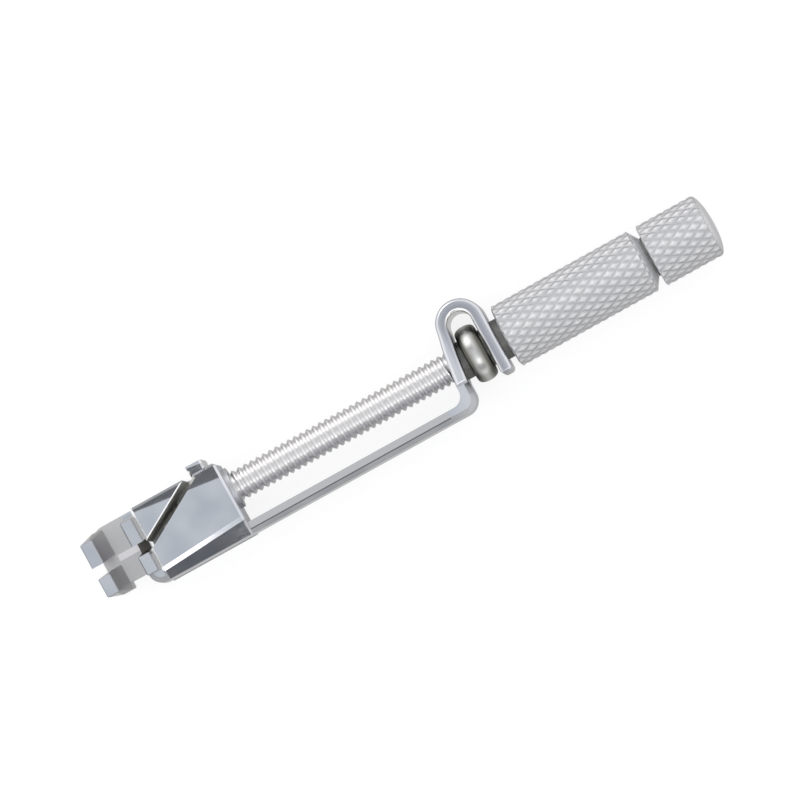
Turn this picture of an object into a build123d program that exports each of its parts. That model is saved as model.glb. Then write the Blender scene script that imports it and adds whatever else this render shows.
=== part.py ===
from build123d import *
import math
import os

# A dental matrix band retainer lying on its back, with its slots upward. Millimetres,
# X from the head towards the knobs, Z up. Everything is drawn about the spindle axis
# (y 0, z 0) and moved at the end, so the middle of its footprint is at the origin.
# Joined bodies run into each other by the overlap, and cuts run clear by the beyond length.

# overall
half_depth = 3.0
overlap = 0.1
beyond = 1.0
head_tip_x = -17.2
knob_end_x = 45.87
bar_bottom_y = -4.5
loop_top_y = 5.1
middle_x = (head_tip_x + knob_end_x) / 2
middle_y = (bar_bottom_y + loop_top_y) / 2

# guide bar
bar_top_y = -3.4
bar_half_width = 2.0
bar_edge_slope_width = 0.48
bar_edge_slope_depth = 0.65
bend_left_x = 18.9
bend_right_x = 20.08
bend_inner_radius = 1.1
bend_outer_radius = 1.45

# hairpin bracket: one strip, up the front arm, over the loop and down the rear arm
strip_half_width = 2.5
strip_edge_round = 0.36
shoulder_y = -2.0
front_arm_left = ((bend_left_x, shoulder_y), (19.33, 1.34), (19.7, 3.0))
front_arm_right = ((bend_right_x, shoulder_y), (20.5, 1.3), (20.76, 3.0))
rear_arm_x = (23.0, 24.15)
rear_arm_end_y = -2.95
loop_start_y = 3.0
loop_inner_top_y = 3.95
arm_end_round = 0.4

# head with the guide slots for the band
floor_top_z = -1.9
floor_front_x = -16.4
floor_y = (-2.8, 2.83)
rear_wall_x = (-13.15, -12.02)
front_wall_foot_x = (-16.4, -15.0)
front_wall_tip_x = (head_tip_x, -16.02)
wall_foot_y = (-3.4, 2.75)
wall_tip_y = (-3.35, 1.9)
head_corner_radius = 1.25
guide_slot_width = 1.1
guide_slot_foot_y = -0.45
guide_slot_tip_y = -0.98
head_bevel = 0.1
floor_groove_y = (-0.7, -0.1)
floor_groove_depth = 0.2

# slide block
block_x = (-11.75, -3.15)
block_top_y = 2.65
block_bottom_y = -4.5
block_bevel = 0.22
cheek_edge_front_y = -3.55
cheek_edge_rear_y = -2.91
cheek_slope_depth = 0.75
bar_clearance = 0.04
band_slot_slope = math.tan(math.radians(29.9))
band_slot_left_end = (-5.97, 2.78)
band_slot_right_end = (-5.23, 2.25)
band_slot_turn = ((-5.55, 2.95), (-5.68, 3.7))
band_slot_floor_z = -2.2
lip_x = (-5.95, -4.1)
lip_y = (2.3, 3.5)
lip_half_width = 2.8
boss_radius = 1.95
boss_length = 0.42

# spindle: a helical thread at the real pitch where it shows, plain where it is inside
thread_radius = 1.4225
thread_pitch = 0.635
thread_depth = 0.3
thread_sides = 12
thread_start_x = -2.6
thread_turns = 34
thread_clearance = 0.04
thread_end_ring = 0.1
shank_end_x = 42.0
tip_x = -10.0
tip_radius = 0.3
tip_end_x = -7.9
tip_clearance = 0.05

# adjusting knob with its sleeve, and the collar pressed on the sleeve
knob_crest_radius = 3.0
knurl_depth = 0.28
diamonds_round = 21
diamond_length = 1.52
adjusting_knurl_x = 24.95
adjusting_rows = 9
adjusting_knob_x = (24.8, 39.3)
front_chamfer_radius = 2.52
rear_chamfer_radius = 1.95
neck_radius = 1.9
journal_radius = 1.75
journal_clearance = 0.03
sleeve_front_x = 19.8
collar_radius = 2.7
collar_x = (20.83, 22.78)
collar_round = 0.55
collar_round_share = 0.3

# lock knob
lock_knurl_x = 39.65
lock_rows = 3.5
lock_knob_start_x = 39.55
lock_chamfer_radius = 2.62
dome_radius = 2.85
dome_rim = 0.15
dome_steps = ((0.65, 0.82), (0.92, 0.45), (1, 0))


def polygon(points):
    return make_face(Polyline(*points, close=True))


def plate(face, z_low, z_high):
    # the flat outline as a plate between two heights
    return extrude(Pos(0, 0, z_low) * face, amount=z_high - z_low)


def rodX(radius, x_start, x_end):
    # a round bar along the spindle axis
    across = Plane(origin=(x_start, 0, 0), x_dir=(0, 1, 0), z_dir=(1, 0, 0))
    return extrude(across * Circle(radius), amount=x_end - x_start)


def turned(profile):
    # a turned shape: its profile is pairs of x and radius, swung about the spindle axis
    return revolve(polygon(profile), Axis.X)


def roundCorner(outline, point, radius):
    corner = outline.vertices().sort_by_distance((point[0], point[1], 0))[0]
    return fillet(corner, radius)


def frustum(foot, tip):
    # a block whose foot and tip are rectangles ((x0, x1), (y0, y1)) at the two ends of the depth
    ends = []
    for (x_pair, y_pair), z in ((foot, -half_depth), (tip, half_depth)):
        corners = [
            (x_pair[0], y_pair[0], z),
            (x_pair[1], y_pair[0], z),
            (x_pair[1], y_pair[1], z),
            (x_pair[0], y_pair[1], z),
        ]
        ends.append(Face(Wire.make_polygon(corners, close=True)))
    return loft(ends)


def guideBar():
    # straight bar, its front end turned up into the head and its rear end into the bracket
    left, right = rear_wall_x[0], bend_right_x
    upturn_y = bar_top_y + beyond
    outline = polygon([
        (left, bar_bottom_y),
        (right, bar_bottom_y),
        (right, shoulder_y),
        (bend_left_x, shoulder_y),
        (bend_left_x, bar_top_y),
        (rear_wall_x[1], bar_top_y),
        (rear_wall_x[1], upturn_y),
        (left, upturn_y),
    ])
    outline = roundCorner(outline, (right, bar_bottom_y), bend_outer_radius)
    outline = roundCorner(outline, (bend_left_x, bar_top_y), bend_inner_radius)
    outline = roundCorner(outline, (left, bar_bottom_y), head_corner_radius)
    bar = plate(outline, -bar_half_width, bar_half_width)
    # steep slope along the outer edge of each side
    for end in (0, -1):
        side = bar.faces().filter_by(Plane.XY).sort_by(Axis.Z)[end]
        edge = side.edges().filter_by(Axis.X).sort_by(Axis.Y)[0]
        bar = chamfer(edge, bar_edge_slope_width, bar_edge_slope_depth, reference=side)
    return bar


def bracket():
    # hairpin strip: front arm, loop over the collar, rear arm with a rounded end
    rear_left, rear_right = rear_arm_x
    outer_middle = (front_arm_left[-1][0] + rear_right) / 2
    inner_middle = (front_arm_right[-1][0] + rear_left) / 2
    path = [
        Polyline(*front_arm_left),
        ThreePointArc(front_arm_left[-1], (outer_middle, loop_top_y), (rear_right, loop_start_y)),
        Line((rear_right, loop_start_y), (rear_right, rear_arm_end_y)),
        Line((rear_right, rear_arm_end_y), (rear_left, rear_arm_end_y)),
        Line((rear_left, rear_arm_end_y), (rear_left, loop_start_y)),
        ThreePointArc((rear_left, loop_start_y), (inner_middle, loop_inner_top_y), front_arm_right[-1]),
        Polyline(*reversed(front_arm_right)),
        Line(front_arm_right[0], front_arm_left[0]),
    ]
    outline = make_face(path)
    outline = roundCorner(outline, (rear_right, rear_arm_end_y), arm_end_round)
    outline = roundCorner(outline, (rear_left, rear_arm_end_y), arm_end_round)
    strip = plate(outline, -strip_half_width, strip_half_width)
    rims = strip.faces().filter_by(Plane.XY).edges()
    return fillet(rims, strip_edge_round)


def guideSlot():
    # the leaning gap that lets the band pass through both walls of the head
    half = guide_slot_width / 2
    lean = (guide_slot_tip_y - guide_slot_foot_y) / (half_depth - floor_top_z)
    top_z = half_depth + beyond
    top_y = guide_slot_foot_y + lean * (top_z - floor_top_z)
    x_start = head_tip_x - beyond
    section = [
        (x_start, guide_slot_foot_y - half, floor_top_z),
        (x_start, guide_slot_foot_y + half, floor_top_z),
        (x_start, top_y + half, top_z),
        (x_start, top_y - half, top_z),
    ]
    length = rear_wall_x[1] + 2 * overlap - x_start
    gap = extrude(Face(Wire.make_polygon(section, close=True)), amount=length, dir=(1, 0, 0))
    # shallow groove that the cutter left along the floor
    low_y, high_y = floor_groove_y
    groove = polygon([
        (front_wall_foot_x[1] - overlap, low_y),
        (rear_wall_x[0] + overlap, low_y),
        (rear_wall_x[0] + overlap, high_y),
        (front_wall_foot_x[1] - overlap, high_y),
    ])
    return gap + plate(groove, floor_top_z - floor_groove_depth, floor_top_z + overlap)


def head():
    # floor between a rear wall and a forward-leaning front wall, both slotted for the band
    rear = frustum((rear_wall_x, wall_foot_y), (rear_wall_x, wall_tip_y))
    front = frustum((front_wall_foot_x, wall_foot_y), (front_wall_tip_x, wall_tip_y))
    front = chamfer(front.edges(), head_bevel)
    rear = chamfer(rear.edges(), head_bevel)
    floor_outline = polygon([
        (floor_front_x, floor_y[0]),
        (rear_wall_x[1], floor_y[0]),
        (rear_wall_x[1], floor_y[1]),
        (floor_front_x, floor_y[1]),
    ])
    floor_outline = roundCorner(floor_outline, (floor_front_x, floor_y[1]), head_corner_radius)
    floor = plate(floor_outline, -half_depth, floor_top_z)
    return floor + front + rear


def frame():
    body = guideBar() + bracket() + head() - guideSlot()
    # bearings for the sleeve: a blind one in the front arm, a through one in the rear arm
    body -= rodX(thread_radius + 2 * thread_clearance, front_arm_left[0][0] - beyond, rear_arm_x[0])
    body -= rodX(journal_radius + journal_clearance, sleeve_front_x - overlap / 2, rear_arm_x[1] + beyond)
    return body


def bandSlot():
    # the diagonal gap for both ends of the band, open at the front, the near face and the lip
    front = block_x[0] - beyond
    left_x, left_y = band_slot_left_end
    right_x, right_y = band_slot_right_end
    outline = polygon([
        (front, right_y + (front - right_x) * band_slot_slope),
        band_slot_right_end,
        *band_slot_turn,
        (left_x - beyond, band_slot_turn[-1][1]),
        (left_x - 0.4, left_y - 0.4 * band_slot_slope),
        (front, left_y + (front - left_x) * band_slot_slope),
    ])
    return plate(outline, band_slot_floor_z, half_depth + beyond)


def slideBlock():
    # block astride the bar, with cheeks down both sides of it
    front, rear = block_x
    outline = polygon([
        (front, block_bottom_y),
        (rear, block_bottom_y),
        (rear, block_top_y),
        (front, block_top_y),
    ])
    block = plate(outline, -half_depth, half_depth)
    # the sloping outer face of the cheek, cut from the near face down to the foot
    slope = []
    for x, edge_y in ((front - overlap, cheek_edge_front_y), (rear + overlap, cheek_edge_rear_y)):
        corners = [
            (x, edge_y, half_depth),
            (x, block_bottom_y, half_depth - cheek_slope_depth),
            (x, block_bottom_y - overlap, half_depth - cheek_slope_depth),
            (x, block_bottom_y - overlap, half_depth + overlap),
            (x, edge_y, half_depth + overlap),
        ]
        slope.append(Face(Wire.make_polygon(corners, close=True)))
    block -= loft(slope)
    edges = [e for e in block.edges() if e.center().Y > block_bottom_y + overlap]
    block = chamfer(edges, block_bevel)
    # short boss round the spindle
    block += rodX(boss_radius, rear - overlap, rear + boss_length)
    # groove for the bar
    channel_top = bar_top_y + bar_clearance
    channel_half = bar_half_width + bar_clearance
    channel = polygon([
        (front - beyond, bar_bottom_y - beyond),
        (rear + beyond, bar_bottom_y - beyond),
        (rear + beyond, channel_top),
        (front - beyond, channel_top),
    ])
    block -= plate(channel, -channel_half, channel_half)
    # lip that turns the band up where the slot comes out
    lip = polygon([(lip_x[0], lip_y[0]), (lip_x[1], lip_y[0]), (lip_x[1], lip_y[1]), (lip_x[0], lip_y[1])])
    lip = plate(lip, -lip_half_width, lip_half_width)
    block += chamfer(lip.edges().filter_by(Axis.Y), block_bevel)
    block -= bandSlot()
    # threaded bore, drawn smooth at the crest of the thread, ending as the tip ends
    bore = thread_radius + thread_clearance
    block -= turned([
        (tip_x - 5 * tip_clearance, 0),
        (tip_x - 5 * tip_clearance, tip_radius + tip_clearance),
        (tip_end_x - tip_clearance, bore),
        (rear + beyond, bore),
        (rear + beyond, 0),
    ])
    return block


def axisPoint(x, radius, turn):
    # a point round the spindle axis, turned right-handed about X by a share of a turn
    angle = 2 * math.pi * turn
    return (x, radius * math.cos(angle), radius * math.sin(angle))


def facetedSolid(outlines):
    return Solid(Shell([Face(Wire.make_polygon(points, close=True)) for points in outlines]))


def threadedRod(x_start, turns):
    # one right-handed helical ridge of flat facets, closed by a ring and a disc at each end
    sides = thread_sides

    def node(side, row):
        # rows alternate crest and root, and each side starts a little further along
        radius = thread_radius if row % 2 == 0 else thread_radius - thread_depth
        x = x_start + thread_pitch * (row / 2 + side / sides)
        return axisPoint(x, radius, side / sides)

    last = 2 * turns
    outlines = []
    for row in range(last):
        for side in range(sides):
            a, b = node(side, row), node(side + 1, row)
            c, d = node(side + 1, row + 1), node(side, row + 1)
            outlines += [(a, b, c), (a, c, d)]
    x_end = x_start + thread_pitch * (turns + 1)
    for x, row in ((x_start - thread_end_ring, 0), (x_end + thread_end_ring, last)):
        ring = [axisPoint(x, thread_radius, side / sides) for side in range(sides)]
        outlines.append(ring)
        for side in range(sides):
            here, following = ring[side], ring[(side + 1) % sides]
            outlines += [(here, following, node(side, row))]
            outlines += [(following, node(side + 1, row), node(side, row))]
        # the step where the ridge comes round to its own start
        if row == 0:
            outlines.append((ring[0], node(0, 0), node(0, 1), node(0, 2)))
        else:
            outlines.append((ring[0], node(0, last), node(sides, last - 1), node(sides, last)))
    return facetedSolid(outlines)


def spindle():
    # rod with a cone tip, threaded where it shows between the block and the bracket
    thread = threadedRod(thread_start_x, thread_turns)
    thread_end_x = thread_start_x + thread_pitch * (thread_turns + 1)
    tip = turned([
        (tip_x, 0),
        (tip_x, tip_radius),
        (tip_end_x, thread_radius),
        (thread_start_x - thread_end_ring / 2, thread_radius),
        (thread_start_x - thread_end_ring / 2, 0),
    ])
    return Part() + tip + thread + rodX(thread_radius, thread_end_x + thread_end_ring / 2, shank_end_x)


def knurledCylinder(x_start, rows, front_cap, rear_cap):
    # rows of four-sided pyramids, closed by a chamfer and a flat; a cap is its x and radius
    columns = 2 * diamonds_round
    last_row = round(2 * rows)

    def node(column, row):
        # tips and valley corners alternate like the squares of a chessboard
        is_tip = (column + row) % 2 == 0
        radius = knob_crest_radius if is_tip else knob_crest_radius - knurl_depth
        return axisPoint(x_start + row * diamond_length / 2, radius, column / columns)

    outlines = []
    for row in range(last_row):
        for column in range(columns):
            a, b = node(column, row), node(column + 1, row)
            c, d = node(column + 1, row + 1), node(column, row + 1)
            if (column + row) % 2 == 0:
                outlines += [(a, b, d), (b, c, d)]
            else:
                outlines += [(a, b, c), (a, c, d)]
    for (x, radius), row in ((front_cap, 0), (rear_cap, last_row)):
        ring = [axisPoint(x, radius, column / columns) for column in range(columns)]
        outlines.append(ring)
        for column in range(columns):
            here, following = ring[column], ring[(column + 1) % columns]
            outlines += [(here, following, node(column, row))]
            outlines += [(following, node(column + 1, row), node(column, row))]
    return facetedSolid(outlines)


def adjustingKnob():
    # knurled barrel with a neck and the sleeve that turns in both arms of the bracket
    barrel_start, barrel_end = adjusting_knob_x
    front_cap = (barrel_start, front_chamfer_radius)
    rear_cap = (barrel_end, rear_chamfer_radius)
    knob = Part() + knurledCylinder(adjusting_knurl_x, adjusting_rows, front_cap, rear_cap)
    knob += rodX(neck_radius, rear_arm_x[1] + overlap / 2, barrel_start + overlap)
    knob += rodX(journal_radius, sleeve_front_x, barrel_start)
    return knob - rodX(thread_radius + thread_clearance, sleeve_front_x - beyond, barrel_end + beyond)


def retainingCollar():
    # barrel-rimmed collar that holds the sleeve endways between the arms
    start, end = collar_x
    shoulder = collar_round * collar_round_share
    collar = turned([
        (start, journal_radius),
        (start, collar_radius - collar_round),
        (start + shoulder, collar_radius - shoulder),
        (start + collar_round, collar_radius),
        (end - collar_round, collar_radius),
        (end - shoulder, collar_radius - shoulder),
        (end, collar_radius - collar_round),
        (end, journal_radius),
    ])
    return collar


def lockKnob():
    # knurled knob with a low smooth dome, fast on the spindle
    knurl_end = lock_knurl_x + lock_rows * diamond_length
    front_cap = (lock_knob_start_x, lock_chamfer_radius)
    rear_cap = (knurl_end + overlap, knob_crest_radius - knurl_depth)
    knob = Part() + knurledCylinder(lock_knurl_x, lock_rows, front_cap, rear_cap)
    dome_height = knob_end_x - knurl_end
    profile = [
        (knurl_end - overlap, 0),
        (knurl_end - overlap, dome_radius),
        (knurl_end + dome_rim, dome_radius),
    ]
    for height_share, radius_share in dome_steps:
        profile.append((knurl_end + height_share * dome_height, radius_share * dome_radius))
    knob += turned(profile)
    return knob - rodX(thread_radius, lock_knob_start_x - beyond, shank_end_x)


pieces = {
    "frame": frame(),
    "slide_block": slideBlock(),
    "spindle": spindle(),
    "adjusting_knob": adjustingKnob(),
    "retaining_collar": retainingCollar(),
    "lock_knob": lockKnob(),
}

os.makedirs("parts", exist_ok=True)
for name, piece in pieces.items():
    placed = Pos(-middle_x, -middle_y, half_depth) * piece
    placed.label = name
    export_step(placed, "parts/" + name + ".step")
    box = placed.bounding_box()
    print(name, "solids", len(placed.solids()), "size", box.size)
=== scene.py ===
import math

import bmesh
import bpy
from mathutils import Matrix, Vector


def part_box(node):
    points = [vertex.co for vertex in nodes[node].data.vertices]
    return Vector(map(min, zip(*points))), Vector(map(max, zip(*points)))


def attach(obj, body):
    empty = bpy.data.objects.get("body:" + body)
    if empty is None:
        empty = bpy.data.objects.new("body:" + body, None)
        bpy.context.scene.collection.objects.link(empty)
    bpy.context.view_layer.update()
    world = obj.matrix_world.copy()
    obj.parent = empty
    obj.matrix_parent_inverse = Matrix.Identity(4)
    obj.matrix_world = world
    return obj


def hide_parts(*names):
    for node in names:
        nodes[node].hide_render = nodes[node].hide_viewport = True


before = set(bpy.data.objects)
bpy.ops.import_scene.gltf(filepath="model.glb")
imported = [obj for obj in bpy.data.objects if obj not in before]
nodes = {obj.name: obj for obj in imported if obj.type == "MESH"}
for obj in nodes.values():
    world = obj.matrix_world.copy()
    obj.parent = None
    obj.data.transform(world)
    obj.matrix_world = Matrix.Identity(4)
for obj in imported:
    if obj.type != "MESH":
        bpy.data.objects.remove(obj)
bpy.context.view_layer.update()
mm = 0.001
weldDistance = 1e-7  # metres; points of a mesh closer than this become one

barrelLow, barrelHigh = (Vector(corner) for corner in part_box("adjusting_knob"))
axisY = (barrelLow.y + barrelHigh.y) / 2  # the spindle runs through the middle of the knob
axisZ = (barrelLow.z + barrelHigh.z) / 2
print("frame loaded, spindle axis at", round(axisY / mm, 2), round(axisZ / mm, 2), "mm")


def hexToLinear(text):
    # an sRGB hex such as "c8cad0" as the linear colour that a shader takes
    values = [int(text[i:i + 2], 16) / 255 for i in (0, 2, 4)]
    linear = [v / 12.92 if v <= 0.04045 else ((v + 0.055) / 1.055) ** 2.4 for v in values]
    return (*linear, 1.0)


def addNode(tree, kind, settings=None, links=None, stops=()):
    # settings go to sockets or attributes, links join an input to another node's output, and
    # stops are a ramp's places with their hex colours
    node = tree.nodes.new(kind)
    for key, value in (settings or {}).items():
        if isinstance(key, int) or key in node.inputs:
            node.inputs[key].default_value = value
        else:
            setattr(node, key, value)
    for key, output in (links or {}).items():
        tree.links.new(output, node.inputs[key])
    if stops:
        elements = node.color_ramp.elements
        while len(elements) < len(stops):
            elements.new(0.5)
        for element, (position, colour) in zip(elements, stops):
            element.position = position
            element.color = hexToLinear(colour)
    return node


def newMaterial(name):
    material = bpy.data.materials.new(name)
    material.use_nodes = True
    material.node_tree.nodes.clear()
    return material, material.node_tree


def steelSurface(tree, settings, links):
    # bare metal under every finish; they differ in colour, roughness and relief
    shader = addNode(tree, "ShaderNodeBsdfPrincipled", {"Metallic": 1.0, **settings}, links)
    addNode(tree, "ShaderNodeOutputMaterial", links={"Surface": shader.outputs["BSDF"]})


def toolMarks(tree, place, spacing, depth, stretch):
    # fine marks of a tool, drawn out along an axis whose stretch is below 1
    drawn = addNode(tree, "ShaderNodeMapping", {"Scale": stretch}, {"Vector": place})
    marks = addNode(
        tree,
        "ShaderNodeTexNoise",
        {"Scale": 1 / spacing, "Detail": 2.0},
        {"Vector": drawn.outputs["Vector"]},
    ).outputs["Fac"]
    relief = addNode(tree, "ShaderNodeBump", {"Strength": 1.0, "Distance": depth}, {"Height": marks})
    return marks, relief.outputs["Normal"]


def roughnessOfMarks(tree, marks, look):
    # marks between the low and the high value give the metal its low to high roughness
    return addNode(
        tree,
        "ShaderNodeMapRange",
        {
            "From Min": look["marksLow"],
            "From Max": look["marksHigh"],
            "To Min": look["lowRoughness"],
            "To Max": look["highRoughness"],
        },
        {"Value": marks},
    ).outputs["Result"]


def distanceFromAxis(tree, place, unit):
    # how far a place is from the spindle's axis, as a share of the unit
    fromAxis = addNode(
        tree, "ShaderNodeVectorMath", {"operation": "SUBTRACT", 1: (0, axisY, axisZ)}, {0: place}
    )
    across = addNode(
        tree,
        "ShaderNodeVectorMath",
        {"operation": "MULTIPLY", 1: (0, 1, 1)},
        {0: fromAxis.outputs["Vector"]},
    )
    radius = addNode(tree, "ShaderNodeVectorMath", {"operation": "LENGTH"}, {0: across.outputs["Vector"]})
    share = addNode(tree, "ShaderNodeMath", {"operation": "DIVIDE", 1: unit}, {0: radius.outputs["Value"]})
    return share.outputs["Value"]


def addPiece(name, vertices, faces, body, material, smoothAngle):
    mesh = bpy.data.meshes.new(name)
    mesh.from_pydata(vertices, [], faces)
    work = bmesh.new()
    work.from_mesh(mesh)
    bmesh.ops.remove_doubles(work, verts=work.verts, dist=weldDistance)
    bmesh.ops.dissolve_degenerate(work, edges=work.edges, dist=weldDistance)
    bmesh.ops.recalc_face_normals(work, faces=work.faces)
    work.to_mesh(mesh)
    work.free()
    mesh.materials.append(material)
    mesh.shade_smooth()
    mesh.set_sharp_from_angle(angle=math.radians(smoothAngle))
    piece = bpy.data.objects.new(name, mesh)
    bpy.context.scene.collection.objects.link(piece)
    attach(piece, body)
    return piece


# Polished stainless steel: forged, ground and buffed, so it mirrors the studio with a slight
# waviness left by the wheel, and very fine wiping scratches soften the reflections. Inside the
# slots the cutter's rough finish is left, and the guide slot is also painted dark as shade, so
# they read as dark lines.
polishedLook = {
    "colour": "d3d5da",
    "shadeColour": "c3c6cd",
    "lowRoughness": 0.07,
    "highRoughness": 0.17,
    "slotRoughness": 0.55,
    "satinRoughness": 0.3,
    "satinBlend": 2.5 * mm,
    "waveSize": 2.6 * mm,
    "waveDepth": 0.006 * mm,
    "waveLow": 0.3,                  # values of the wave where its two colours are full
    "waveHigh": 0.7,
    "scratchSpacing": 0.12 * mm,     # real ones are finer; these are coarse enough to show
    "scratchStretch": (0.12, 1, 1),  # they run along the instrument
    "marksLow": 0.35,
    "marksHigh": 0.75,
}


def insideSlot(tree, place, slotCut):
    # 1 between the walls of a slot and below its rim, 0 elsewhere
    fromMiddle = addNode(
        tree, "ShaderNodeVectorMath", {"operation": "SUBTRACT", 1: slotCut["point"]}, {0: place}
    )
    across = addNode(
        tree,
        "ShaderNodeVectorMath",
        {"operation": "DOT_PRODUCT", 1: slotCut["across"]},
        {0: fromMiddle.outputs["Vector"]},
    )
    away = addNode(tree, "ShaderNodeMath", {"operation": "ABSOLUTE"}, {0: across.outputs["Value"]})
    parts = addNode(tree, "ShaderNodeSeparateXYZ", links={0: place}).outputs
    tests = [
        (away.outputs["Value"], "LESS_THAN", slotCut["halfWidth"]),
        (parts["Z"], "LESS_THAN", slotCut["rim"]),
        (parts["Z"], "GREATER_THAN", slotCut["floor"]),
        (parts["X"], "LESS_THAN", slotCut["endX"]),
        (parts["X"], "GREATER_THAN", slotCut["startX"]),
    ]
    passed = [
        addNode(tree, "ShaderNodeMath", {"operation": test, 1: limit}, {0: source}).outputs["Value"]
        for source, test, limit in tests
    ]
    share = passed[0]
    for other in passed[1:]:
        both = addNode(tree, "ShaderNodeMath", {"operation": "MULTIPLY"}, {0: share, 1: other})
        share = both.outputs["Value"]
    return share


def insideBox(tree, place, low, high):
    # 1 inside a box given by two corners, 0 elsewhere
    above = addNode(tree, "ShaderNodeVectorMath", {"operation": "SUBTRACT", 1: low}, {0: place})
    below = addNode(tree, "ShaderNodeVectorMath", {"operation": "SUBTRACT", 0: high}, {1: place})
    least = addNode(
        tree,
        "ShaderNodeVectorMath",
        {"operation": "MINIMUM"},
        {0: above.outputs["Vector"], 1: below.outputs["Vector"]},
    )
    parts = addNode(tree, "ShaderNodeSeparateXYZ", links={0: least.outputs["Vector"]}).outputs
    depth = parts["X"]
    for side in ("Y", "Z"):
        nearer = addNode(tree, "ShaderNodeMath", {"operation": "MINIMUM"}, {0: depth, 1: parts[side]})
        depth = nearer.outputs["Value"]
    inside = addNode(tree, "ShaderNodeMath", {"operation": "GREATER_THAN", 1: 0.0}, {0: depth})
    return inside.outputs["Value"]


def satinStripPaintedShading(tree, place, colour, roughness, start):
    # the bent strip can't be reached by the fine wheel, so it stays satin
    rearward = addNode(tree, "ShaderNodeSeparateXYZ", links={0: place}).outputs["X"]
    satin = addNode(
        tree,
        "ShaderNodeMapRange",
        {"From Min": start, "From Max": start + polishedLook["satinBlend"]},
        {"Value": rearward},
    ).outputs["Result"]
    roughness = addNode(
        tree,
        "ShaderNodeMix",
        {"data_type": "FLOAT", 3: polishedLook["satinRoughness"]},
        {0: satin, 2: roughness},
    ).outputs[0]
    # its near face is painted with shading: a painted highlight along the inner edge, painted shade
    # beside it, paler towards the outer side; the painted shading goes by the distance from the loop's
    # middle or, below it, from the line midway between the arms
    fromLoop = addNode(
        tree, "ShaderNodeVectorMath", {"operation": "SUBTRACT", 1: bracketLoop["centre"]}, {0: place}
    )
    upward = addNode(
        tree,
        "ShaderNodeVectorMath",
        {"operation": "MAXIMUM", 1: (-1, 0, 0)},
        {0: fromLoop.outputs["Vector"]},
    )
    flat = addNode(
        tree, "ShaderNodeVectorMath", {"operation": "MULTIPLY", 1: (1, 1, 0)}, {0: upward.outputs["Vector"]}
    )
    away = addNode(tree, "ShaderNodeVectorMath", {"operation": "LENGTH"}, {0: flat.outputs["Vector"]})
    share = addNode(
        tree,
        "ShaderNodeMath",
        {"operation": "DIVIDE", 1: bracketLoop["outerRadius"]},
        {0: away.outputs["Value"]},
    )
    paintedShading = addNode(
        tree, "ShaderNodeValToRGB", links={0: share.outputs["Value"]}, stops=bracketLoop["paintedShadingStops"]
    )
    colour = addNode(
        tree,
        "ShaderNodeMix",
        {"data_type": "RGBA"},
        {0: satin, 6: colour, 7: paintedShading.outputs["Color"]},
    ).outputs[2]
    return colour, roughness


def rolledOff(tree, place, normal, roll):
    # the wheel has rolled a face off towards one edge
    sideways = addNode(
        tree, "ShaderNodeVectorMath", {"operation": "DOT_PRODUCT", 1: roll["across"]}, {0: place}
    )
    beyond = addNode(
        tree,
        "ShaderNodeMapRange",
        {"From Min": roll["start"], "From Max": roll["start"] + roll["width"]},
        {"Value": sideways.outputs["Value"]},
    )
    curve = addNode(
        tree, "ShaderNodeMath", {"operation": "POWER", 1: roll["power"]}, {0: beyond.outputs["Result"]}
    )
    fall = addNode(
        tree, "ShaderNodeMath", {"operation": "MULTIPLY", 1: -1.0}, {0: curve.outputs["Value"]}
    )
    return addNode(
        tree,
        "ShaderNodeBump",
        {"Strength": 1.0, "Distance": roll["drop"]},
        {"Height": fall.outputs["Value"], "Normal": normal},
    ).outputs["Normal"]


def polishedStainlessSteel(name, cuts, patches, rollFrom=None, satinFrom=None):
    look = polishedLook
    material, tree = newMaterial(name)
    place = addNode(tree, "ShaderNodeTexCoord").outputs["Object"]
    wave = addNode(
        tree, "ShaderNodeTexNoise", {"Scale": 1 / look["waveSize"], "Detail": 1.0}, {"Vector": place}
    ).outputs["Fac"]
    colour = addNode(
        tree,
        "ShaderNodeValToRGB",
        links={0: wave},
        stops=[(look["waveLow"], look["shadeColour"]), (look["waveHigh"], look["colour"])],
    ).outputs["Color"]
    along = addNode(tree, "ShaderNodeMapping", {"Scale": look["scratchStretch"]}, {"Vector": place})
    scratches = addNode(
        tree,
        "ShaderNodeTexNoise",
        {"Scale": 1 / look["scratchSpacing"], "Detail": 2.0, "Roughness": 0.6},
        {"Vector": along.outputs["Vector"]},
    )
    roughness = roughnessOfMarks(tree, scratches.outputs["Fac"], look)
    if satinFrom:
        colour, roughness = satinStripPaintedShading(tree, place, colour, roughness, satinFrom)
    shares = [(insideSlot(tree, place, cut), cut["colour"], look["slotRoughness"]) for cut in cuts]
    for patch in patches:
        share = insideBox(tree, place, patch["low"], patch["high"])
        shares.append((share, patch["colour"], patch["roughness"]))
    for share, shareColour, shareRoughness in shares:
        colour = addNode(
            tree,
            "ShaderNodeMix",
            {"data_type": "RGBA", 7: hexToLinear(shareColour)},
            {0: share, 6: colour},
        ).outputs[2]
        roughness = addNode(
            tree,
            "ShaderNodeMix",
            {"data_type": "FLOAT", 3: shareRoughness},
            {0: share, 2: roughness},
        ).outputs[0]
    normal = addNode(
        tree, "ShaderNodeBump", {"Strength": 1.0, "Distance": look["waveDepth"]}, {"Height": wave}
    ).outputs["Normal"]
    if rollFrom:
        normal = rolledOff(tree, place, normal, rollFrom)
    steelSurface(tree, {}, {"Base Color": colour, "Roughness": roughness, "Normal": normal})
    return material


# Form of the knurl that the wheels press on both knobs.
knurl = {
    "crestRadius": 3.0 * mm,
    "grooveDepth": 0.16 * mm,
    "diamondsAround": 21,
    "diamondLength": 1.52 * mm,
    "stepsPerHalf": 5,     # mesh steps along half a diamond
    "tipFlat": 0.12,       # share of the depth taken off the point of each diamond
    "grooveFlat": 0.08,
    "smoothAngle": 24,     # degrees from which an edge of the mesh stays sharp
}
knurlRoot = knurl["crestRadius"] - knurl["grooveDepth"]
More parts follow.
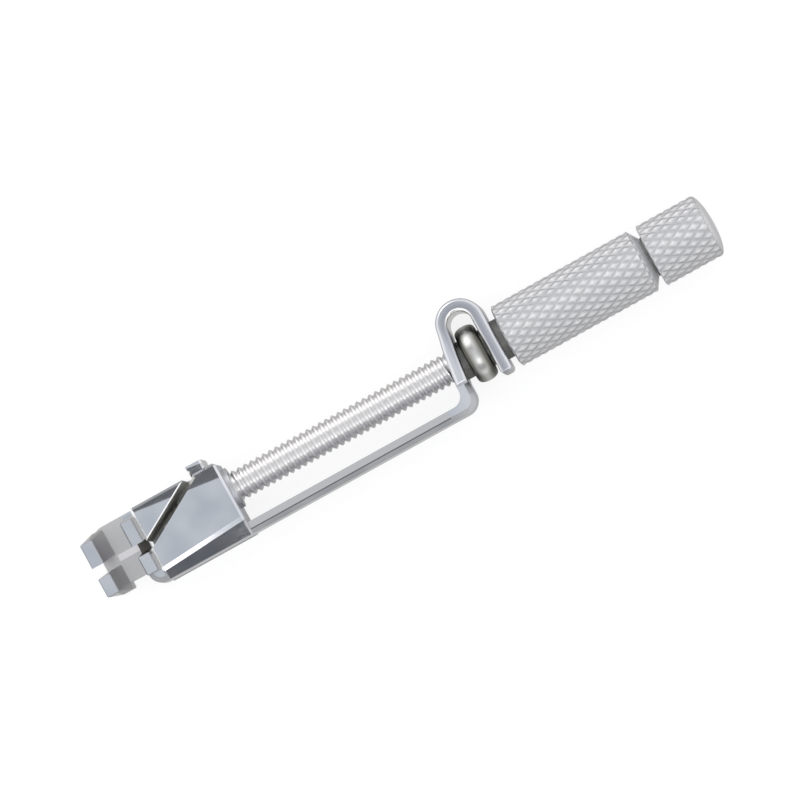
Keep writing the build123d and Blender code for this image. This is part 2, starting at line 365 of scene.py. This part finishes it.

# Knurled stainless steel: the wheels press the diamonds up and leave them matt, so the knobs look
# paler and softer than the polished frame. Their tips are painted paler as highlights and their
# grooves darker as shade. The turned neck and end below the knurl are painted dark as shade, so
# the gaps read as dark lines. The colours go by the distance from the axis.
knurledLook = {
    # painted shade: the neck and the end below the knurl are coloured dark
    "recessShadeColour": "777774",
    "recessRadius": 1.93 * mm,
    "recessBlend": 0.1 * mm,
    "endColour": "e0e0e2",
    "endBelowRoot": 0.05 * mm,
    # painted shade in the grooves
    "grooveShadeColour": "bbbbbd",
    "grooveAboveRoot": 0.01 * mm,
    "flankColour": "ccccce",
    "flankAboveRoot": 0.08 * mm,
    # painted highlight on the tips
    "tipHighlightColour": "dadadc",
    "tipBelowCrest": 0.03 * mm,
    "lowRoughness": 0.47,
    "highRoughness": 0.63,
    "marksLow": 0.3,
    "marksHigh": 0.7,
    "grainSize": 0.05 * mm,
    "grainDepth": 0.003 * mm,
}


def knurledStainlessSteel(name, recessShadeColour):
    look = knurledLook
    material, tree = newMaterial(name)
    place = addNode(tree, "ShaderNodeTexCoord").outputs["Object"]
    crest = knurl["crestRadius"]
    colour = addNode(
        tree,
        "ShaderNodeValToRGB",
        links={0: distanceFromAxis(tree, place, crest)},
        stops=[
            (look["recessRadius"] / crest, recessShadeColour),
            ((look["recessRadius"] + look["recessBlend"]) / crest, look["endColour"]),
            ((knurlRoot - look["endBelowRoot"]) / crest, look["endColour"]),
            ((knurlRoot + look["grooveAboveRoot"]) / crest, look["grooveShadeColour"]),
            ((knurlRoot + look["flankAboveRoot"]) / crest, look["flankColour"]),
            ((crest - look["tipBelowCrest"]) / crest, look["tipHighlightColour"]),
        ],
    ).outputs["Color"]
    grain, normal = toolMarks(tree, place, look["grainSize"], look["grainDepth"], (1, 1, 1))
    roughness = roughnessOfMarks(tree, grain, look)
    steelSurface(tree, {}, {"Base Color": colour, "Roughness": roughness, "Normal": normal})
    return material


# Turned stainless steel: the collar's rim is painted pale as a highlight and its two sides dark
# grey as shade, so it looks like a bright bead between dark edges.
turnedLook = {
    "rimHighlightColour": "d2d2d0",
    "rimWidth": 0.2 * mm,
    # painted shade: the collar's two sides are coloured dark grey
    "sideColour": "5e5d57",
    "sideShadeFrom": 0.68,  # share of the half width from which the sides are fully grey
    "roughness": 0.33,
    "ringSpacing": 0.05 * mm,
    "ringDepth": 0.001 * mm,
    "ringStretch": (1, 0.02, 0.02),
}


def turnedStainlessSteel(middleX, halfWidth):
    look = turnedLook
    material, tree = newMaterial("turnedStainlessSteel")
    place = addNode(tree, "ShaderNodeTexCoord").outputs["Object"]
    along = addNode(tree, "ShaderNodeSeparateXYZ", links={0: place}).outputs["X"]
    offset = addNode(tree, "ShaderNodeMath", {"operation": "SUBTRACT", 1: middleX}, {0: along})
    away = addNode(tree, "ShaderNodeMath", {"operation": "ABSOLUTE"}, {0: offset.outputs["Value"]})
    share = addNode(
        tree, "ShaderNodeMath", {"operation": "DIVIDE", 1: halfWidth}, {0: away.outputs["Value"]}
    )
    colour = addNode(
        tree,
        "ShaderNodeValToRGB",
        links={0: share.outputs["Value"]},
        stops=[
            (look["rimWidth"] / 2 / halfWidth, look["rimHighlightColour"]),
            (look["sideShadeFrom"], look["sideColour"]),
        ],
    ).outputs["Color"]
    normal = toolMarks(tree, place, look["ringSpacing"], look["ringDepth"], look["ringStretch"])[1]
    steelSurface(tree, {"Roughness": look["roughness"]}, {"Base Color": colour, "Normal": normal})
    return material


# Form of the spindle: its thread, the cone tip that holds the band, and its plain shank.
spindleForm = {
    "pitch": 0.635 * mm,
    "crestRadius": 1.4225 * mm,
    "rootRadius": 1.18 * mm,
    # one pitch, in shares of the pitch and of the way out from the root: crest flat, flank down,
    # root flat, flank up
    "profile": [(0.0, 1), (0.14, 1), (0.24, 0.75), (0.5, 0), (0.64, 0), (0.9, 0.75)],
    "coneLength": 2.1 * mm,
    "tipRadius": 0.3 * mm,
    "shankLength": 3.0 * mm,
    "clearance": 0.04 * mm,
    "stepsAround": 48,
    "smoothAngle": 35,
}

# Thread-cut stainless steel: the crests and roots are painted paler than the duller flanks as
# highlights, so each turn shows two pale lines, with fine marks of the cut along the helix.
threadLook = {
    "rootHighlightColour": "ecebeb",
    "flankColour": "dddcdc",
    "crestHighlightColour": "eeeded",
    "crestFrom": 0.98,  # share of the crest's radius from which the crest's colour is full
    "lowRoughness": 0.28,
    "highRoughness": 0.44,
    "marksLow": 0.3,
    "marksHigh": 0.7,
    "markSpacing": 0.06 * mm,
    "markDepth": 0.0004 * mm,
    "markStretch": (1, 0.15, 0.15),
}


def threadCutStainlessSteel():
    look = threadLook
    material, tree = newMaterial("threadCutStainlessSteel")
    place = addNode(tree, "ShaderNodeTexCoord").outputs["Object"]
    rootShare = spindleForm["rootRadius"] / spindleForm["crestRadius"]
    colour = addNode(
        tree,
        "ShaderNodeValToRGB",
        links={0: distanceFromAxis(tree, place, spindleForm["crestRadius"])},
        stops=[
            (rootShare, look["rootHighlightColour"]),
            ((1 + rootShare) / 2, look["flankColour"]),
            (look["crestFrom"], look["crestHighlightColour"]),
        ],
    ).outputs["Color"]
    marks, normal = toolMarks(tree, place, look["markSpacing"], look["markDepth"], look["markStretch"])
    roughness = roughnessOfMarks(tree, marks, look)
    steelSurface(tree, {}, {"Base Color": colour, "Roughness": roughness, "Normal": normal})
    return material


blockLow, blockHigh = (Vector(corner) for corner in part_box("slide_block"))
frameLow, frameHigh = (Vector(corner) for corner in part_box("frame"))

# Slots, as the material sees them: a line that the slot runs along, and the limits of its cut.
bandSlotAngle = math.radians(29.9)
bandSlot = {
    "point": (blockLow.x + 6.15 * mm, axisY + 2.515 * mm, 0),  # where its middle line passes the lip
    "across": (-math.sin(bandSlotAngle), math.cos(bandSlotAngle), 0),
    "halfWidth": 0.43 * mm,
    "rim": blockHigh.z - 0.02 * mm,
    "floor": 0.7 * mm,
    "startX": blockLow.x - 1 * mm,
    "endX": blockLow.x + 6.3 * mm,
    "colour": "d0d0cc",
}
# a painted highlight: a thin white line along the slot's upper edge
slotEdgeHighlight = dict(
    bandSlot,
    point=tuple(Vector(bandSlot["point"]) + 0.47 * mm * Vector(bandSlot["across"])),
    halfWidth=0.055 * mm,
    rim=blockHigh.z + 1 * mm,
    floor=blockHigh.z - 0.1 * mm,
    colour="ffffff",
)
# the guide slot is painted dark grey as the shade inside its recess
guideSlotPaintedShade = {
    "point": (0, axisY - 0.9 * mm, 0),
    "across": (0, 1, 0),
    "halfWidth": 0.9 * mm,
    "rim": frameHigh.z - 0.15 * mm,
    "floor": 1.0 * mm,
    "startX": frameLow.x + 4.1 * mm,
    "endX": frameLow.x + 5.16 * mm,
    "colour": "76736e",
}

# Where the wheel rolled off the block's near face: beyond a slanting line from this corner.
rollAcross = Vector((0.12, 1, 0)).normalized()
rollCorner = Vector((blockLow.x, blockHigh.y - 1.35 * mm, 0))
blockRoll = {
    "across": rollAcross,
    "start": rollAcross.dot(rollCorner),
    "width": 1.9 * mm,
    "drop": 0.42 * mm,
    "power": 1.3,
}

# Where the frame starts to be satin, and the loop of its bracket.
satinStart = frameHigh.x - 7.5 * mm
loopRadius = 2.22 * mm
bracketLoop = {
    "centre": (frameHigh.x - loopRadius, axisY + 3.0 * mm, 0),
    "outerRadius": loopRadius,
    # painted shading from the loop's middle outwards, at shares of its outer radius: a white
    # highlight at the inner edge, dark shade beside it, paler outwards
    "paintedShadingStops": [(0.52, "ffffff"), (0.58, "a2a4ab"), (0.75, "b6b8bf"), (0.97, "dadbe0")],
}

# Places on the frame where its finish changes.
headRear = frameLow.x + 4.04 * mm  # inner side of the head's rear wall
floorZ = 1.1 * mm                  # floor between the head's walls
cutBottom = 0.5 * mm               # below everything that was cut into the head
skin = 0.02 * mm                   # how far a finish reaches past the face it belongs to
bevelFoot, bevelTop = 5.75 * mm, 5.99 * mm
barFrom, barTo = frameLow.x + 6.6 * mm, frameHigh.x - 7 * mm
barInner = frameLow.y + 2.5 * mm
barFace, barEdge = 4.99 * mm, 4.86 * mm

framePatches = [
    # the leaning inner face of the front wall, left rougher by the cutter and painted grey as the shade at
    # the wall's foot
    {
        "low": (frameLow.x + 0.9 * mm, frameLow.y, floorZ + skin),
        "high": (frameLow.x + 2.7 * mm, frameHigh.y, bevelFoot - 0.01 * mm),
        "colour": "acabad",
        "roughness": 0.3,
    },
    # the floor between the walls is only milled
    {
        "low": (frameLow.x, frameLow.y, cutBottom),
        "high": (headRear, frameHigh.y, floorZ + skin),
        "colour": "d0cecd",
        "roughness": 0.34,
    },
    # the groove along the floor was buffed a little smoother, and is painted pale as a highlight so it
    # shows
    {
        "low": (frameLow.x + 1.2 * mm, axisY - 0.75 * mm, cutBottom),
        "high": (headRear + 0.2 * mm, axisY - 0.05 * mm, floorZ - skin),
        "colour": "f4eff0",
        "roughness": 0.3,
    },
    # bevels of the head are brushed rougher and painted grey as shade, so they don't shine round each face
    {
        "low": (frameLow.x, frameLow.y, bevelFoot),
        "high": (frameLow.x + 5.3 * mm, frameHigh.y, bevelTop),
        "colour": "9a9ca2",
        "roughness": 0.3,
    },
    # the bar's near face was drawn lengthways
    {
        "low": (barFrom, frameLow.y, barFace),
        "high": (barTo, barInner, barFace + 0.11 * mm),
        "colour": "cfcecf",
        "roughness": 0.2,
    },
    # the dark line of the bar's edge, painted shade
    {
        "low": (barFrom, frameLow.y, barEdge),
        "high": (barTo, barInner, barFace),
        "colour": "808184",
        "roughness": 0.2,
    },
]

beyondBlock = 1 * mm
blockPatches = [
    # front edge: a bright matt line painted as its highlight
    {
        "low": (blockLow.x - beyondBlock, blockLow.y, blockHigh.z - 0.24 * mm),
        "high": (blockLow.x + 0.215 * mm, blockHigh.y, blockHigh.z + beyondBlock),
        "colour": "ffffff",
        "roughness": 0.5,
    },
    # the boss round the bore is only turned
    {
        "low": (blockHigh.x - 0.62 * mm, blockLow.y, 0),
        "high": (blockHigh.x + beyondBlock, blockHigh.y, blockHigh.z - 0.3 * mm),
        "colour": "c9cace",
        "roughness": 0.5,
    },
]

steels = {
    "frame": polishedStainlessSteel(
        "polishedStainlessSteelFrame", [guideSlotPaintedShade], framePatches, satinFrom=satinStart
    ),
    "slide_block": polishedStainlessSteel(
        "polishedStainlessSteelBlock", [bandSlot, slotEdgeHighlight], blockPatches, rollFrom=blockRoll
    ),
}
collarLow, collarHigh = (Vector(corner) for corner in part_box("retaining_collar"))
turned = turnedStainlessSteel((collarLow.x + collarHigh.x) / 2, (collarHigh.x - collarLow.x) / 2)
# the barrel's neck is painted dark as shade; the cap keeps its end colour there
knurledBarrel = knurledStainlessSteel("knurledStainlessSteelBarrel", knurledLook["recessShadeColour"])
knurledCap = knurledStainlessSteel("knurledStainlessSteelCap", knurledLook["endColour"])
threadSteel = threadCutStainlessSteel()
print("steels made")

for name, steel in steels.items():
    node = nodes[name]
    node.data.materials.clear()
    node.data.materials.append(steel)


def aroundAxis(x, radius, angle):
    return (x, axisY + radius * math.cos(angle), axisZ + radius * math.sin(angle))


def latheRings(profile, columns):
    # one ring of points about the axis for each x and radius
    angles = [2 * math.pi * i / columns for i in range(columns)]
    return [[aroundAxis(x, radius, angle) for angle in angles] for x, radius in profile]


def closedRingFaces(ringCount, columns):
    # joins rings of points in turn, and the last one to the first
    faces = []
    for r in range(ringCount):
        here, following = r * columns, (r + 1) % ringCount * columns
        for c in range(columns):
            after = (c + 1) % columns
            faces.append((here + c, here + after, following + after, following + c))
    return faces


def knurlHeight(across, along):
    # 0 in a groove and 1 on a tip, for a place given in half diamonds
    first = abs((across + along) / 2 % 1 - 0.5) * 2
    second = abs((across - along) / 2 % 1 - 0.5) * 2
    height = min(first, second)
    return min(max((height - knurl["grooveFlat"]) / (1 - knurl["grooveFlat"] - knurl["tipFlat"]), 0), 1)


def knurledKnob(name, body, material, startProfile, knurlStart, halfRows, turnedDown, endProfile):
    # a turned form with a knurled band between its start and end profiles; turnedDown gives the
    # largest radius at each x, where the end was cut after knurling
    steps = knurl["stepsPerHalf"]
    columns = 2 * knurl["diamondsAround"] * steps
    rowLength = knurl["diamondLength"] / 2 / steps
    rings = latheRings(startProfile, columns)
    bandStart = len(rings)
    for row in range(halfRows * steps + 1):
        x, largest = turnedDown(knurlStart + row * rowLength)
        ring = []
        for column in range(columns):
            radius = knurlRoot + knurl["grooveDepth"] * knurlHeight(column / steps, row / steps)
            ring.append(aroundAxis(x, min(radius, largest), 2 * math.pi * column / columns))
        rings.append(ring)
    bandEnd = len(rings) - 1
    rings += latheRings(endProfile, columns)
    vertices = [point for ring in rings for point in ring]
    faces = []
    for index, (a, b, c, d) in enumerate(closedRingFaces(len(rings), columns)):
        ring, column = divmod(index, columns)
        if not bandStart <= ring < bandEnd:
            faces.append((a, b, c, d))
        # in the band each four-sided face is split along the groove that runs through it
        elif (column // steps + (ring - bandStart) // steps) % 2 == 0:
            faces += [(a, b, d), (b, c, d)]
        else:
            faces += [(a, b, c), (a, c, d)]
    return addPiece(name, vertices, faces, body, material, knurl["smoothAngle"])


adjustingKnob = {
    "barrelLength": 14.5 * mm,
    "neckLength": 0.63 * mm,
    "neckRadius": 1.9 * mm,
    "sleeveRadius": 1.75 * mm,
    "faceBelowRoot": 0.2 * mm,   # rim of the plain front face
    "knurlInset": 0.15 * mm,
    "knurlHalfRows": 19,
    "chamferLength": 0.67 * mm,  # turned on the rear end after knurling
    "endRadius": 1.95 * mm,
}


def buildAdjustingKnob():
    form = adjustingKnob
    low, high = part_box("adjusting_knob")
    start, end = low[0], high[0]
    bore = spindleForm["crestRadius"] + spindleForm["clearance"]
    barrelStart = end - form["barrelLength"]
    neckStart = barrelStart - form["neckLength"]
    chamferRise = knurl["crestRadius"] - form["endRadius"]

    def turnedDown(x):
        x = min(x, end)
        return x, form["endRadius"] + chamferRise * (end - x) / form["chamferLength"]

    startProfile = [
        (start, bore),
        (start, form["sleeveRadius"]),
        (neckStart, form["sleeveRadius"]),
        (neckStart, form["neckRadius"]),
        (barrelStart, form["neckRadius"]),
        (barrelStart, knurlRoot - form["faceBelowRoot"]),
    ]
    piece = knurledKnob(
        "adjustingKnobKnurled",
        "adjusting_knob",
        knurledBarrel,
        startProfile,
        barrelStart + form["knurlInset"],
        form["knurlHalfRows"],
        turnedDown,
        [(end, bore)],
    )
    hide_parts("adjusting_knob")
    print("adjusting knob", round((end - start) / mm, 2), "mm long")


collar = {
    "boreRadius": 1.75 * mm,
    "shoulderRadius": 2.12 * mm,
    "crestRadius": 2.7 * mm,
    "roundness": 0.8,   # below 1 the rim is fuller than a half circle
    "rimSteps": 24,
    "columns": 96,
    "smoothAngle": 40,
}


def buildCollar():
    low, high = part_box("retaining_collar")
    start, end = low[0], high[0]
    middle, half = (start + end) / 2, (end - start) / 2
    rise = collar["crestRadius"] - collar["shoulderRadius"]
    profile = [(start, collar["boreRadius"])]
    for i in range(collar["rimSteps"] + 1):
        angle = math.pi * (i / collar["rimSteps"] - 0.5)
        radius = collar["shoulderRadius"] + rise * math.cos(angle) ** collar["roundness"]
        profile.append((middle + half * math.sin(angle), radius))
    profile.append((end, collar["boreRadius"]))
    rings = latheRings(profile, collar["columns"])
    vertices = [point for ring in rings for point in ring]
    faces = closedRingFaces(len(rings), collar["columns"])
    piece = addPiece(
        "collarTurned", vertices, faces, "adjusting_knob", turned, collar["smoothAngle"]
    )
    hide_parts("retaining_collar")
    print("collar built")


lockKnob = {
    "centreRadius": 0.05 * mm,   # smallest ring, at the middle of each end
    "faceBelowRoot": 0.1 * mm,
    "knurlInset": 0.1 * mm,
    "knurlHalfRows": 8,
    "domeHeight": 0.9 * mm,
    "domePower": 2.5,
    "domeShares": (0.88, 0.91, 0.94, 0.965, 0.985, 0.995, 1),  # rings past the knurl
    "shoulderLength": 0.2 * mm,
    "shoulderClearance": 0.02 * mm,
    "shoulderColumns": 64,
    "shoulderSmoothAngle": 30,
}


def buildLockKnob():
    form = lockKnob
    low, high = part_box("lock_knob")
    start, end = low[0], high[0]

    def turnedDown(x):
        x = min(x, end)
        share = max((x - end + form["domeHeight"]) / form["domeHeight"], 0)
        radius = knurl["crestRadius"] * math.sqrt(1 - share ** form["domePower"])
        return x, max(radius, form["centreRadius"])

    startProfile = [(start, form["centreRadius"]), (start, knurlRoot - form["faceBelowRoot"])]
    endProfile = [turnedDown(end - form["domeHeight"] * (1 - share)) for share in form["domeShares"]]
    piece = knurledKnob(
        "lockKnobKnurled",
        "lock_knob",
        knurledCap,
        startProfile,
        start + form["knurlInset"],
        form["knurlHalfRows"],
        turnedDown,
        endProfile,
    )
    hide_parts("lock_knob")

    # turned shoulder that bears on the adjusting knob; it takes the painted dark shade of the recess,
    # so it shows as the dark slit between the two
    shoulderStart = start - form["shoulderLength"]
    radius = knurledLook["recessRadius"] - form["shoulderClearance"]
    bore = spindleForm["crestRadius"] + form["shoulderClearance"]
    rings = latheRings(
        [(shoulderStart, bore), (shoulderStart, radius), (start, radius), (start, bore)],
        form["shoulderColumns"],
    )
    vertices = [point for ring in rings for point in ring]
    faces = closedRingFaces(len(rings), form["shoulderColumns"])
    smoothAngle = form["shoulderSmoothAngle"]
    addPiece("lockShoulder", vertices, faces, "lock_knob", knurledBarrel, smoothAngle)
    print("lock knob", round((end - start) / mm, 2), "mm long")


def buildSpindle():
    form = spindleForm
    low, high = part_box("spindle")
    start, end = low[0], high[0]
    around = form["stepsAround"]
    crest, tip = form["crestRadius"], form["tipRadius"]

    def limited(x, radius):
        # the helix is cut off at both ends, by the cone and by the plain shank
        x = min(max(x, start), end)
        cone = tip + (crest - tip) * (x - start) / form["coneLength"]
        if x > end - form["shankLength"]:
            radius = crest
        return x, min(radius, max(cone, tip))

    turns = int((end - start) / form["pitch"]) + 3  # a few more than the length takes
    rows = []
    for turn in range(-1, turns):
        for share, out in form["profile"]:
            rows.append((turn + share, out * crest + (1 - out) * form["rootRadius"]))
    vertices = []
    for turn, rowRadius in rows:
        for i in range(around):
            x, radius = limited(start + (turn + i / around) * form["pitch"], rowRadius)
            vertices.append(aroundAxis(x, radius, 2 * math.pi * i / around))
    faces = []
    for row in range(len(rows) - 1):
        for i in range(around):
            a, b = row * around + i, row * around + i + 1
            if i == around - 1:
                b = (row + len(form["profile"])) * around  # a full turn ends one pitch further on
            if b + around < len(vertices):
                faces.append((a, b, b + around, a + around))
    piece = addPiece(
        "spindleThreaded", vertices, faces, "spindle", threadSteel, form["smoothAngle"]
    )
    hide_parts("spindle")
    print("spindle", round((end - start) / mm, 2), "mm long")


buildAdjustingKnob()
buildCollar()
buildLockKnob()
buildSpindle()

# Studio: a white sweep under the instrument inside a bright tent, which is dimmer straight above
# and has two dark cards for the steel to mirror.
studio = {
    "floorColour": "f7f7f7",
    "floorHalfSize": 0.6,
    "floorDrop": 0.02 * mm,
    "floorGlow": 1.05,             # the camera sees mostly this even glow, so shadows stay faint
    "floorGlowShare": 0.8,
    # painted shade: in reflections the sweep is grey close to the instrument and white further off
    "mirroredFloorShade": "c4c4c3",     # the sweep as the steel sees it, close to the instrument
    "mirroredFrom": 40 * mm,       # how far off it starts to brighten, and where it is white
    "mirroredTo": 80 * mm,
    "aboveColour": "e2e6ea",
    "sideColour": "ffffff",
    "sideStrength": 1.2,
    "aboveRadius": 16,             # degrees from straight up where the dimmer part ends
    "aboveFade": 14,
    "cardColour": "76787b",
    "cardFade": 3,
    "frontCard": (-0.05, -0.86, 0.5),
    "frontCardRadius": 17,
    "rearCard": (-0.15, 0.5, 0.86),
    "rearCardRadius": 13,
    "lampDirection": (0, -0.58, 0.81),  # a small bright lamp that puts the glints on the thread
    "lampRadius": 8,
    "lampFade": 2,
    "lampStrength": 3.0,
    "keyPower": 0.25,
    "keySize": 0.25,
    "keyPlace": (-0.1, 0.3, 0.22),
}


def grey(strength):
    return (strength, strength, strength, 1.0)


def whiteSweep():
    size = studio["floorHalfSize"]
    mesh = bpy.data.meshes.new("floor")
    mesh.from_pydata(
        [(-size, -size, 0), (size, -size, 0), (size, size, 0), (-size, size, 0)], [], [(0, 1, 2, 3)]
    )
    floor = bpy.data.objects.new("floor", mesh)
    bpy.context.scene.collection.objects.link(floor)
    floor.location.z = -studio["floorDrop"]
    material, tree = newMaterial("whiteSweep")
    diffuse = addNode(tree, "ShaderNodeBsdfDiffuse", {"Color": hexToLinear(studio["floorColour"])})
    glow = addNode(tree, "ShaderNodeEmission", {"Color": grey(1), "Strength": studio["floorGlow"]})
    place = addNode(tree, "ShaderNodeTexCoord").outputs["Object"]
    away = addNode(tree, "ShaderNodeVectorMath", {"operation": "LENGTH"}, {0: place})
    farShare = addNode(
        tree,
        "ShaderNodeMapRange",
        {"From Min": studio["mirroredFrom"], "From Max": studio["mirroredTo"]},
        {"Value": away.outputs["Value"]},
    )
    # the painted shade of the sweep, seen only by glossy rays
    mirroredSweepShade = addNode(
        tree,
        "ShaderNodeMix",
        {
            "data_type": "RGBA",
            6: hexToLinear(studio["mirroredFloorShade"]),
            7: grey(studio["sideStrength"]),
        },
        {0: farShare.outputs["Result"]},
    ).outputs[2]
    mirrored = addNode(tree, "ShaderNodeEmission", links={"Color": mirroredSweepShade})
    path = addNode(tree, "ShaderNodeLightPath")
    share = addNode(
        tree,
        "ShaderNodeMath",
        {"operation": "MULTIPLY", 1: studio["floorGlowShare"]},
        {0: path.outputs["Is Camera Ray"]},
    )
    mix = addNode(
        tree,
        "ShaderNodeMixShader",
        links={0: share.outputs["Value"], 1: diffuse.outputs["BSDF"], 2: glow.outputs["Emission"]},
    )
    seen = addNode(
        tree,
        "ShaderNodeMixShader",
        links={0: path.outputs["Is Glossy Ray"], 1: mix.outputs["Shader"], 2: mirrored.outputs["Emission"]},
    )
    addNode(tree, "ShaderNodeOutputMaterial", links={"Surface": seen.outputs["Shader"]})
    mesh.materials.append(material)


def withinCone(tree, direction, middle, radius, fade):
    # 1 inside a cone of directions about the middle one, falling to 0 over the fade
    along = addNode(
        tree,
        "ShaderNodeVectorMath",
        {"operation": "DOT_PRODUCT", 1: Vector(middle).normalized()},
        {0: direction},
    )
    inside = addNode(
        tree,
        "ShaderNodeMapRange",
        {
            "From Min": math.cos(math.radians(radius + fade)),
            "From Max": math.cos(math.radians(radius)),
        },
        {"Value": along.outputs["Value"]},
    )
    return inside.outputs["Result"]


def studioTent():
    world = bpy.data.worlds.new("studioTent")
    bpy.context.scene.world = world
    world.use_nodes = True
    tree = world.node_tree
    tree.nodes.clear()
    direction = addNode(tree, "ShaderNodeTexCoord").outputs["Generated"]
    side = [part * studio["sideStrength"] for part in hexToLinear(studio["sideColour"])[:3]]
    tent = addNode(
        tree,
        "ShaderNodeMix",
        {"data_type": "RGBA", 6: (*side, 1.0), 7: hexToLinear(studio["aboveColour"])},
        {0: withinCone(tree, direction, (0, 0, 1), studio["aboveRadius"], studio["aboveFade"])},
    ).outputs[2]
    card = hexToLinear(studio["cardColour"])
    spots = [
        (studio["frontCard"], studio["frontCardRadius"], studio["cardFade"], card),
        (studio["rearCard"], studio["rearCardRadius"], studio["cardFade"], card),
        (studio["lampDirection"], studio["lampRadius"], studio["lampFade"], grey(studio["lampStrength"])),
    ]
    for middle, radius, fade, colour in spots:
        tent = addNode(
            tree,
            "ShaderNodeMix",
            {"data_type": "RGBA", 7: colour},
            {0: withinCone(tree, direction, middle, radius, fade), 6: tent},
        ).outputs[2]
    back = addNode(tree, "ShaderNodeBackground", links={"Color": tent})
    white = addNode(tree, "ShaderNodeBackground", {"Strength": 1.0, "Color": grey(1)})
    path = addNode(tree, "ShaderNodeLightPath")
    mix = addNode(
        tree,
        "ShaderNodeMixShader",
        links={
            0: path.outputs["Is Camera Ray"],
            1: back.outputs["Background"],
            2: white.outputs["Background"],
        },
    )
    addNode(tree, "ShaderNodeOutputWorld", links={"Surface": mix.outputs["Shader"]})


def keyLight():
    light = bpy.data.lights.new("softKey", "AREA")
    light.shape = "DISK"
    light.size = studio["keySize"]
    light.energy = studio["keyPower"]
    lamp = bpy.data.objects.new("softKey", light)
    lamp.location = studio["keyPlace"]
    lamp.rotation_euler = (-Vector(studio["keyPlace"])).to_track_quat("-Z", "Y").to_euler()
    bpy.context.scene.collection.objects.link(lamp)


# Where the photograph was taken from.
photoView = {
    "pictureWidth": 800,     # pixels
    "pixelsPerMm": 11.25,
    "turn": 29.0,            # degrees by which the spindle is turned in the picture
    "tiltForward": 4.0,      # degrees; brings the bar's outer side into view
    "tiltToKnobs": 3.0,      # degrees
    "distance": 0.7,
    "aim": Vector((-0.475 * mm, axisY - 0.34 * mm, axisZ)),  # middle of the picture
    "sensorWidth": 36,       # millimetres, as the lens is given
    "clipStart": 0.01,
    "clipEnd": 10,
}


def photoCamera():
    view = photoView
    turn = math.radians(view["turn"])
    back = Vector((
        math.sin(math.radians(view["tiltToKnobs"])),
        -math.sin(math.radians(view["tiltForward"])),
        1.0,
    )).normalized()
    right = Vector((math.cos(turn), -math.sin(turn), 0))
    right = (right - back * right.dot(back)).normalized()
    up = back.cross(right)
    camera = bpy.data.cameras.new("photoCamera")
    camera.sensor_width = view["sensorWidth"]
    fieldWidth = view["pictureWidth"] / view["pixelsPerMm"] * mm
    camera.lens = view["sensorWidth"] * view["distance"] / fieldWidth
    camera.clip_start = view["clipStart"]
    camera.clip_end = view["clipEnd"]
    holder = bpy.data.objects.new("photoCamera", camera)
    place = Matrix((right, up, back)).transposed().to_4x4()
    place.translation = view["aim"] + back * view["distance"]
    holder.matrix_world = place
    bpy.context.scene.collection.objects.link(holder)
    bpy.context.scene.camera = holder


whiteSweep()
studioTent()
keyLight()
photoCamera()
bpy.context.scene.view_settings.view_transform = "Standard"
print("studio and camera set")
